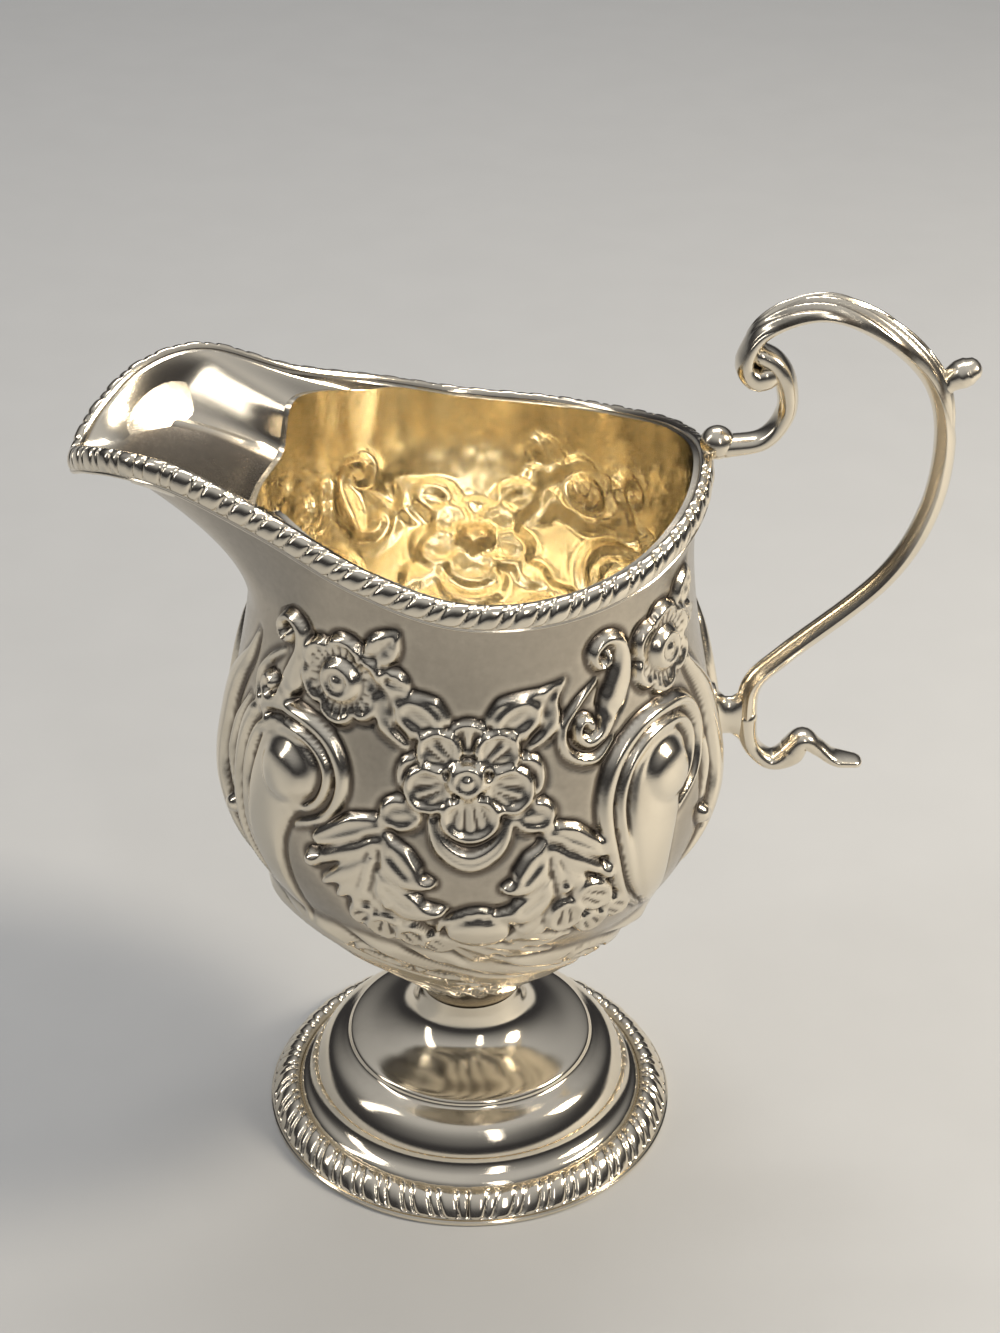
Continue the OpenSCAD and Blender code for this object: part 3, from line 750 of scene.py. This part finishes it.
class JUG_OT_bowl(Operator):
    """Raise the two halves of the chased bowl and neck, gilt inside"""

    bl_idname = "jug.bowl"
    bl_label = "Bowl"

    def execute(self, context):
        finish, sizes = context.scene.jug_finish, context.scene.jug_sizes
        outer = silver("chased silver", finish, finish.satin, BRUSHED, 0.25)
        gilding = metal("gilding", finish.gilt, finish.gilt_dark, 0.13, (2, 2, 1), 0.8, 0.12)
        outer_columns, inner_columns = 330, 190
        s = self.rows(0, 14, 185)
        h, dark = chase(s, outer_columns)
        h = soften(h, 1) * sizes.relief
        # Hollows are darkened, part tarnish and part painted shade; the chased lines carry painted shade, and
        # the flat ground between the forms is darker than their crowns, part dull finish and part painted
        # shade
        ground = DULL_AND_SHADE * (1 - smooth(h / 0.7))
        tone = np.clip((soften(h, 4) - h) * HOLLOW_TONE + np.maximum(dark, ground), 0, 1)
        inner_s = self.rows(2.5, 10, 120)
        back = chase(inner_s, inner_columns)[0] * sizes.relief
        for name, start in (("chased_bowl_front", 180), ("chased_bowl_back", 0)):
            piece = self.half(start, s, h, tone, inner_s, back).build(name, [outer, gilding], sharp=75)
            place(piece, "body")
        return {"FINISHED"}

    def rows(self, first, low, high):
        """Lengths along the profile up to the neck: low rows below the ornament and high ones across it."""
        return np.concatenate([np.linspace(first, PLAIN, low, endpoint=False),
                               np.linspace(PLAIN, s_at(NECK_Z), high)])

    def skin(self, start, s, h, sink):
        """Points of one face of the wall, from the bottom up to the edge under the rim."""
        angle = np.radians(np.linspace(start, start + 180, h.shape[1]))
        r, z, out_r, out_z = (v[:, None] for v in on_bowl(s))
        top = neck_top(np.degrees(angle))
        neck_z = NECK_Z + np.linspace(0, 1, NECK_ROWS + 1)[1:, None] * (top - NECK_Z)
        r = np.vstack([r + (h - sink) * out_r, neck_r(neck_z) - sink])
        z = np.vstack([z + (h - sink) * out_z, neck_z])
        return polar(r, angle, z)

    def half(self, start, s, h, tone, inner_s, back):
        """One half of the wall, closed along the cut."""
        shell = Shell()
        # The neck is darkened like the ground between the forms, part dull finish and part painted shade
        tone = np.pad(tone, ((0, NECK_ROWS), (0, 0)), constant_values=DULL_AND_SHADE)
        outside = shell.grid(self.skin(start, s, h, 0), tone=tone)
        back = soften(np.minimum(back, soften(back, 3)), 1) * 0.95
        pits = np.clip((back - soften(back, 10)) * PIT_TONE, 0, 1)
        base_z = BOWL_LINE[0][1]
        bottom = np.array((0, 0, base_z + WALL))
        wall = self.skin(start, inner_s, back, WALL)
        # The bottom inside is a shallow dish with a rounded edge
        share = np.linspace(0, 1, 8)[1:-1, None]
        dish = bottom + (wall[0] - bottom) * np.stack([share, share, share ** 4], -1)
        pits = np.pad(pits, ((len(dish), NECK_ROWS), (0, 0)))
        inside = shell.grid(np.concatenate([dish, wall]), tone=pits, finish=1)
        under, floor = shell.point((0, 0, base_z)), shell.point(bottom)
        shell.fan(outside[0], under)
        shell.fan(inside[0], floor, finish=1)
        shell.stitch(outside[-1], inside[-1])
        for side in (0, -1):
            shell.stitch(np.append(under, outside[:, side]), np.append(floor, inside[:, side]))
        return shell


class JUG_OT_spout(Operator):
    """Form the trough that is soldered over the front of the neck"""

    bl_idname = "jug.spout"
    bl_label = "Spout"

    def execute(self, context):
        finish = context.scene.jug_finish
        angles = np.degrees(np.arctan2(rim[:, 1], rim[:, 0]))
        first = np.searchsorted(angles, SPOUT_START)
        lip_fold_y, root_fold_y = 8.5, 12
        edge, wall_share = self.both_sides(self.split(rim[first:], lip_fold_y))
        out = unit(np.cross(unit(np.gradient(edge, axis=0)), (0, 0, 1)))
        a = np.radians(np.linspace(angles[first], 180, 240))
        neck_z = neck_top(np.degrees(a))
        root = self.both_sides(self.split(polar(neck_r(neck_z), a, neck_z), root_fold_y))[0]
        # The outside passes the corners of the seam in a smooth sweep
        span, rows_across = 18, 19
        window = np.hanning(2 * span + 3)[1:-1]
        padded = np.pad(root, ((span, span), (0, 0)), mode="reflect", reflect_type="odd")
        sweep = np.column_stack([np.convolve(axis, window / window.sum(), "valid") for axis in padded.T])
        # The root lies flush inside the neck where the spout starts and outside it farther on
        turned_by = np.degrees(np.abs(np.arctan2(root[:, 1], root[:, 0]))) - angles[first]
        passing_turn = 45
        start_in = 1 - smooth(turned_by / passing_turn)
        root_z = root[:, 2]
        root = self.on_neck(root, neck_r(root_z) + 0.03 - (WALL - 0.05) * start_in, root_z)
        lip = edge - out * WALL
        t = np.linspace(0, 1, rows_across)[:, None, None]
        inner = root + (lip - root) * t
        # A flat bottom rises between the two folds, and turns up to the lip at its end
        rise = t[..., 0]
        level, turn_up, bead_h = 111.6, 0.82, 0.3
        bottom = root_z + (level - root_z) * (1 - (1 - rise) ** 1.8)
        bottom = bottom + (lip[:, 2] - level) * smooth((rise - turn_up) / (1 - turn_up))
        inner[..., 2] += (bottom - inner[..., 2]) * np.clip(1 - wall_share / 0.3, 0, 1)
        # A fine bead runs along each fold
        folds = np.flatnonzero(np.diff((wall_share > 0).astype(int)))
        inner[:, folds, 2] += bead_h * smooth(rise * 6) * smooth((0.85 - rise) * 6)
        most_lap, least_lap = 12, 2
        lap = most_lap + (least_lap - most_lap) * start_in
        sweep_z = sweep[:, 2]
        gap = 0.02
        low = self.on_neck(sweep, neck_r(sweep_z - lap) + gap, sweep_z - lap)
        bend = self.on_neck(sweep, neck_r(sweep_z) + 0.5, sweep_z - 1.5)
        below_edge = edge * 0.35 + bend * 0.65 - (0, 0, 0.4)
        above_low = low + lap[:, None] * np.array((0, 0, 0.6))
        outer = (1 - t) ** 3 * edge + 3 * t * (1 - t) ** 2 * below_edge
        outer = outer + 3 * t * t * (1 - t) * above_low + t ** 3 * low
        least = neck_r(outer[..., 2]) + gap
        outer[..., :2] *= np.maximum(least / np.hypot(outer[..., 0], outer[..., 1]), 1)[..., None]
        shell = Shell()
        rows = np.concatenate([inner, (lip + edge)[None] / 2 + (0, 0, 0.15), outer])
        # The outside is darkened like the neck, part dull finish and part painted shade; the trough's bottom
        # is painted darker than its walls, painted shade standing in for the dark reflection below its folds
        tone = np.full(rows.shape[:2], DULL_AND_SHADE)
        tone[:len(inner)] = np.where(wall_share > 0, 0.05, 0.78 * (1 - smooth((rise - 0.78) / 0.16)))
        outside = np.arange(len(rows)) >= len(inner)
        finishes = np.repeat(outside, rows.shape[1] - 1).astype(int)
        ids = shell.grid(rows, wrap_rows=True, tone=tone, finish=finishes)
        shell.add([ids[::-1, 0].tolist(), ids[:, -1].tolist()], 1)
        trough = silver("trough silver", finish, 0.16, (6, 6, 6), 0.2)
        back = silver("spout silver", finish, finish.satin, BRUSHED, 0.25)
        piece = shell.build("pouring_spout", [trough, back], sharp=20)
        place(piece, "spout")
        return {"FINISHED"}

    def on_neck(self, line, r, z):
        """Points round the jug where a line is, at other radii and heights."""
        return polar(r, np.arctan2(line[:, 1], line[:, 0]), z)

    def split(self, half, fold_y):
        """Points along half of an edge, one of them on the fold, and how far each is up the side wall."""
        walls, bottoms = 40, 24
        at_fold = len(half) - np.searchsorted(half[::-1, 1], fold_y)
        points = np.vstack([even(half[:at_fold], walls)[:-1], even(half[at_fold - 1:], bottoms + 1)])
        return points, np.concatenate([np.linspace(1, 0, walls), np.zeros(bottoms)])

    def both_sides(self, half):
        """Mirror half of an edge to the near side."""
        points, share = half
        return np.vstack([points, points[-2::-1] * (1, -1, 1)]), np.concatenate([share, share[-2::-1]])


class JUG_OT_borders(Operator):
    """Cast the gadrooned borders of the rim and the foot"""

    bl_idname = "jug.borders"
    bl_label = "Gadrooned borders"

    def execute(self, context):
        finish, sizes = context.scene.jug_finish, context.scene.jug_sizes
        bright = silver("gadrooned silver", finish, finish.polish, (4, 4, 4), 0.15)
        place(self.rim_border(sizes, bright), "rim_gadroon")
        place(self.foot_border(sizes, bright), "foot_gadroon")
        return {"FINISHED"}

    def lobe(self, phase):
        """Height across a broad lobe and the narrow bar beside it, 0 in the grooves between."""
        broad = 0.64
        p = phase % 1
        across = np.where(p < broad, p / broad, (p - broad) / (1 - broad)) * 2 - 1
        return np.sqrt(np.clip(1 - across ** 4, 0, 1)) * np.where(p < broad, 1, 0.85)

    def strip(self, section, per_lobe, lean, upright, first, last, depth):
        """How far a border sinks inwards and down between its leaning lobes, and how much darker it is there.

        The lobes lean about the upright place of the section. They start at first and stop at last, which
        are places on it from 0 to 1, each with the length in which the lobes fade.
        """
        place_on = np.linspace(0, 1, len(section))
        lobed = smooth((place_on - first[0]) / first[1]) * smooth((last[0] - place_on) / last[1])
        phase = (np.arange(len(lean)) / per_lobe)[None, :] + lean[None, :] * (upright - place_on[:, None])
        crown = self.lobe(phase)
        normal = left_of(section)
        sink = depth * (1 - crown) * lobed[:, None]
        return normal[:, 0, None] * sink, normal[:, 1, None] * sink, (1 - crown) ** 2 * lobed[:, None]

    def rim_border(self, sizes, material):
        per_lobe = 24
        line = np.vstack([rim, rim[-2:0:-1] * (1, -1, 1), rim[:1]])
        count = sizes.rim_lobes * per_lobe
        loop = even(line, count + 1)[:-1]
        way = unit(np.roll(loop, -1, 0) - np.roll(loop, 1, 0))
        out = unit(np.cross(way, (0, 0, 1)))
        up = np.cross(out, way)
        section = spline(RIM_SECTION, 4)
        # The lobes stand straight at the lip and lean like a rope towards the handle
        turn = np.arctan2(loop[:, 1], loop[:, 0])
        lean = 0.95 * smooth((loop[:, 0] + 48) / 40) * np.where(loop[:, 1] < 0, -1, 1)
        lean = lean * np.clip(np.abs(np.sin(turn)) * 3, 0, 1)
        inwards, down, tone = self.strip(section, per_lobe, lean, 0.35, (0.08, 0.08), (0.63, 0.06), 0.62)
        across = section[:, 0, None] * (sizes.border / MM) / SECTION_WIDTH - inwards
        level = section[:, 1, None] - down
        points = loop[None] + out[None] * across[..., None] + up[None] * level[..., None]
        return hoop("rim_border", points, material, tone)

    def foot_border(self, sizes, material):
        per_lobe = 26
        count = sizes.foot_lobes * per_lobe
        angle = np.linspace(0, 2 * pi, count, endpoint=False)
        section = spline(FOOT_SECTION, 4)
        lean = 0.8 * np.clip(4 * np.sin(2 * angle), -1, 1)
        inwards, down, tone = self.strip(section, per_lobe, lean, 0.4, (0.05, 0.08), (0.69, 0.05), 0.6)
        points = polar(section[:, 0, None] - inwards, angle, section[:, 1, None] - down)
        return hoop("foot_border", points, material, tone)


def bar(path, half_w, above, below, ridge, sides=28):
    """Rings of a bar in the plane of the handle, keeled along both sides, with rounded ends."""
    way = unit(np.gradient(path, axis=0))
    side = left_of(path)
    a = np.linspace(0, 2 * pi, sides, endpoint=False)
    lift = np.sign(np.sin(a)) * np.abs(np.sin(a)) ** np.broadcast_to(ridge, len(path))[:, None]
    up = np.where(lift > 0, above[:, None], below[:, None]) * lift
    y = half_w[:, None] * np.cos(a)
    flat = path[:, None, :] + side[:, None, :] * up[..., None]
    rings = np.stack([flat[..., 0], y, flat[..., 1]], -1)
    ends = []
    for end, sign in ((0, -1), (-1, 1)):
        middle = np.array([path[end, 0], 0, path[end, 1]])
        reach = 0.7 * min(half_w[end], above[end] + below[end])
        ahead = np.array([way[end, 0], 0, way[end, 1]]) * sign * reach
        caps = [middle + (rings[end] - middle) * cos(k) + ahead * sin(k)
                for k in radians(90) * np.array((0.35, 0.65, 0.88))]
        ends.append((caps[::-1] if end == 0 else caps, middle + ahead))
    return np.concatenate([np.array(ends[0][0]), rings, np.array(ends[1][0])]), ends[0][1], ends[1][1]


def cast_piece(name, node, material, rings, first, last, tone=0.0, sharp=None):
    """A piece with a skin through closed rings, drawn together to a point at each end."""
    shell = Shell()
    ids = shell.grid(rings, wrap_columns=True, tone=tone)
    shell.close(ids[0], first)
    shell.close(ids[-1], last)
    place(shell.build(name, [material], sharp), node)


class JUG_OT_handle(Operator):
    """Cast the handle: its bar, leaf, thumb rest, curl, ball, arm and tail"""

    bl_idname = "jug.handle"
    bl_label = "Handle"

    def execute(self, context):
        finish = context.scene.jug_finish
        cast = silver("cast silver", finish, finish.polish + 0.05, (3, 3, 3), 0.25)
        path = even(spline(BAR_LINE, 16, last=DOWN), 160)
        t = np.linspace(0, 1, len(path))
        self.make("handle_bar", "handle_scroll", cast, path,
                  np.interp(t, [0, 0.03, 0.1, 0.16, 0.45, 0.52, 1], [2.8, 2.9, 3.0, 2.9, 2.4, 2.0, 1.8]),
                  np.interp(t, [0, 0.02, 0.06, 0.13, 0.38, 0.46, 1], [1.9, 1.8, 1.0, 0.5, 0.6, 1.5, 1.5]),
                  np.interp(t, [0, 0.02, 0.06, 0.1, 0.5, 1], [1.7, 1.6, 1.1, 1.2, 1.5, 1.5]),
                  ridge=np.interp(t, [0, 0.08, 0.25], [0.55, 0.8, 1.9]))
        self.leaf(path, cast)
        spur = even(spline(SPUR_LINE, 8), 24)
        t = np.linspace(0, 1, len(spur))
        lobe = np.interp(t, [0, 0.3, 0.65, 0.9, 1], [1.5, 1.5, 1.9, 1.85, 1.6])
        self.make("thumb_rest", "thumb_spur", cast, spur, lobe * 1.25, lobe, lobe, ridge=1.0)
        strut = even(spline(STRUT_LINE, 12), 60)
        t = np.linspace(0, 1, len(strut))
        thick = table(t, 1.5, 1.6, 1.4, 1.3, 1.3, 1.5)
        self.make("handle_curl", "handle_strut", cast, strut, table(t, 2.3, 2.5, 2.4, 2.2, 2.1, 2.0),
                  thick, thick, ridge=0.9)
        tail = even(spline(TAIL_LINE, 12, first=DOWN), 90)
        t = np.linspace(0, 1, len(tail))
        thick = np.interp(t, [0, 0.25, 0.38, 0.52, 0.7, 0.85, 1], [1.6, 1.2, 1.2, 2.0, 1.2, 0.9, 0.7])
        self.make("handle_tail_scroll", "handle_tail", cast, tail,
                  np.interp(t, [0, 0.3, 0.52, 0.75, 0.9, 1], [1.8, 2.1, 2.3, 1.7, 2.1, 1.6]),
                  thick, thick, ridge=0.8)
        self.ball(cast)
        self.arm(cast)
        return {"FINISHED"}

    def make(self, name, node, material, path, half_w, above, below, ridge):
        """Cast one bar of the handle."""
        cast_piece(name, node, material, *bar(path, half_w, above, below, ridge))

    def leaf(self, path, material):
        """The fluted leaf along the top of the bar."""
        covered = path[12:72]
        side = left_of(covered)
        t = np.linspace(0, 1, len(covered))[:, None]
        v = np.linspace(-1, 1, 41)[None, :]
        half = table(t, 2.6, 3.2, 3.3, 3.2, 2.9, 2.4, 1.5)
        crown = table(t, 1.0, 1.5, 1.8, 1.8, 1.7, 1.5, 1.2)
        fade = smooth(t * 6) * smooth((1 - t) * 4 + 0.2)
        flutes = 0.36 * np.cos(2 * pi * (2.1 * np.abs(v) - 4.2 * t)) * fade
        arch = np.sqrt(np.clip(1 - v ** 2, 0, 1))
        low = 0.1
        y = half * v
        lift = np.stack([crown * arch ** 0.8 + flutes * arch + low, low + 0 * y])
        flat = covered[:, None, :] + side[:, None, :] * lift[..., None]
        top, under = np.stack([flat[..., 0], np.broadcast_to(y, lift.shape), flat[..., 1]], -1)
        rings = np.concatenate([top, under[:, -2:0:-1]], 1)
        tone = np.concatenate([np.clip(-flutes * 2.5, 0, 1), 0 * y[:, 1:-1]], 1)
        cast_piece("handle_leaf_cap", "handle_leaf", material, rings, rings[0].mean(0), rings[-1].mean(0),
                   tone, sharp=60)

    def ball(self, material):
        """The ball that joins the curl to the rim."""
        a = np.linspace(-pi / 2, pi / 2, 33)[1:-1]
        profile = np.column_stack([BALL_R * np.cos(a), BALL_R * np.sin(a)])
        pole = np.array((0, 0, BALL_R))
        cast_piece("rim_bead", "rim_ball", material, turned(profile, 48) + BALL, BALL - pole, BALL + pole)

    def arm(self, material):
        """The flared arm between the bowl and the bar."""
        x = np.array([33.2, 34.6, 34.9, 35.4, 36.2, 37.2, 38, 38.6])
        tall = np.array([5.4, 5.2, 4.6, 3.7, 3, 3, 3.6, 4.3])[:, None]
        wide = np.array([3, 2.9, 2.6, 2.1, 1.8, 1.7, 1.7, 1.6])[:, None]
        a = np.linspace(0, 2 * pi, 40, endpoint=False)[None, :]
        rings = np.stack([x[:, None] + 0 * a, wide * np.cos(a), ARM_Z + tall * np.sin(a)], -1)
        cast_piece("handle_arm", "handle_socket", material, rings, (x[0], 0, ARM_Z), (x[-1], 0, ARM_Z),
                   sharp=60)


class JUG_OT_foot(Operator):
    """Turn the stepped foot and the wire it stands on"""

    bl_idname = "jug.foot"
    bl_label = "Foot"

    def execute(self, context):
        finish = context.scene.jug_finish
        mirror = silver("polished silver", finish, finish.polish * 0.7, (8, 8, 8), 0.12)
        outline = spline(FOOT_LINE, 5)
        inside = outline - WALL * left_of(outline)
        for name, node, section in (("turned_foot", "foot", np.vstack([outline, FOOT_SKIRT, inside[::-1]])),
                                    ("foot_wire", "foot_rim", FOOT_WIRE)):
            place(hoop(name, turned(section, ROUND), mirror, sharp=30), node)
        return {"FINISHED"}


class JUG_OT_stage(Operator):
    """Set the floor, the soft light and the camera"""

    bl_idname = "jug.stage"
    bl_label = "Stage"

    def execute(self, context):
        scene, stage = context.scene, context.scene.jug_stage
        scene.view_settings.view_transform = "Standard"
        self.floor(stage)
        self.world(scene)
        self.lamp("key softbox", (0.55, -0.06, 0.45), (0.16, 0.16), 4.6, (1, 0.9, 0.74))
        self.lamp("side softbox", (-0.6, -0.1, 0.5), (0.1, 0.5), 0.9, (1, 0.97, 0.92))
        self.lamp("top softbox", (0.0, 0.3, 0.8), (0.5, 0.18), 2.8, (1, 0.97, 0.92))
        self.lamp("front strip", (0.25, -0.7, 0.6), (0.06, 0.4), 0.7, (1, 0.96, 0.9))
        self.camera(scene, stage)
        return {"FINISHED"}

    def floor(self, stage):
        half_width = 10000
        shell = Shell()
        side = np.linspace(-half_width, half_width, 41)
        x, y = np.meshgrid(side, side)
        shell.grid(np.stack([x, y, 0 * x], -1))
        material = bpy.data.materials.new("pale table")
        material.use_nodes = True
        tree = material.node_tree
        shader = tree.nodes["Principled BSDF"]
        shader.inputs["Roughness"].default_value = 0.7
        grain = Wire(tree).node("ShaderNodeTexCoord", {}, {}, "Object").noise(60, 5, 0.5)
        shade = 0.94
        base = grain.blend(colour([v * shade for v in stage.floor]), colour(stage.floor))
        tree.links.new(base.socket, shader.inputs["Base Color"])
        shell.build("table_floor", [material])

    def world(self, scene):
        world = bpy.data.worlds.new("studio")
        scene.world = world
        world.use_nodes = True
        tree = world.node_tree
        look = Wire(tree).node("ShaderNodeTexCoord", {}, {}, "Generated")
        height = look.node("ShaderNodeSeparateXYZ", {}, {0: look}, "Z")
        dark, light = (0.04, 0.04, 0.045), (0.56, 0.57, 0.59)
        sky = height.within(0.15, 1.0).blend(colour(dark), colour(light))
        background = tree.nodes["Background"]
        tree.links.new(sky.socket, background.inputs["Color"])
        background.inputs["Strength"].default_value = 0.9

    def lamp(self, name, place_m, size, power, tint):
        data = bpy.data.lights.new(name, "AREA")
        data.shape = "RECTANGLE"
        data.size, data.size_y = size
        data.energy = power
        data.color = tint
        lamp = bpy.data.objects.new(name, data)
        lamp.location = place_m
        middle = Vector((0, 0, 0.07))
        lamp.rotation_euler = (middle - Vector(place_m)).to_track_quat("-Z", "Y").to_euler()
        bpy.context.scene.collection.objects.link(lamp)

    def camera(self, scene, stage):
        data = bpy.data.cameras.new("camera")
        data.sensor_fit = "VERTICAL"
        data.sensor_height = 36
        data.lens = stage.lens
        data.clip_start = 0.01
        level = cos(stage.elevation)
        away = Vector((sin(stage.azimuth) * level, -cos(stage.azimuth) * level, sin(stage.elevation)))
        right = (-away).cross(Vector((0, 0, 1))).normalized()
        up = right.cross(-away)
        side = right * cos(stage.roll) + up * sin(stage.roll)
        tall = up * cos(stage.roll) - right * sin(stage.roll)
        turn = Matrix((side, tall, away)).transposed().to_4x4()
        camera = bpy.data.objects.new("camera", data)
        camera.matrix_world = Matrix.Translation(Vector(stage.target) + away * stage.distance) @ turn
        scene.collection.objects.link(camera)
        scene.camera = camera


class JUG_PT_panel(Panel):
    """Lists the jug's pieces and settings"""

    bl_label = "Cream Jug"
    bl_idname = "JUG_PT_panel"
    bl_space_type = "VIEW_3D"
    bl_region_type = "UI"
    bl_category = "Jug"

    def draw(self, context):
        scene = context.scene
        for group in (scene.jug_sizes, scene.jug_finish, scene.jug_stage):
            box = self.layout.box()
            for name in group.__annotations__:
                box.prop(group, name)
        for step in STEPS:
            self.layout.operator(step.bl_idname)


STEPS = (JUG_OT_bowl, JUG_OT_spout, JUG_OT_borders, JUG_OT_handle, JUG_OT_foot, JUG_OT_stage)
CLASSES = (JugFinish, JugSizes, JugStage, *STEPS, JUG_PT_panel)


def register():
    for item in CLASSES:
        bpy.utils.register_class(item)
    bpy.types.Scene.jug_finish = PointerProperty(type=JugFinish)
    bpy.types.Scene.jug_sizes = PointerProperty(type=JugSizes)
    bpy.types.Scene.jug_stage = PointerProperty(type=JugStage)


def unregister():
    del bpy.types.Scene.jug_stage
    del bpy.types.Scene.jug_sizes
    del bpy.types.Scene.jug_finish
    for item in reversed(CLASSES):
        bpy.utils.unregister_class(item)


def main():
    """Build every piece in order, then the stage."""
    register()
    bpy.ops.jug.bowl()
    bpy.ops.jug.spout()
    bpy.ops.jug.borders()
    bpy.ops.jug.handle()
    bpy.ops.jug.foot()
    bpy.ops.jug.stage()


if __name__ == "__main__":
    main()
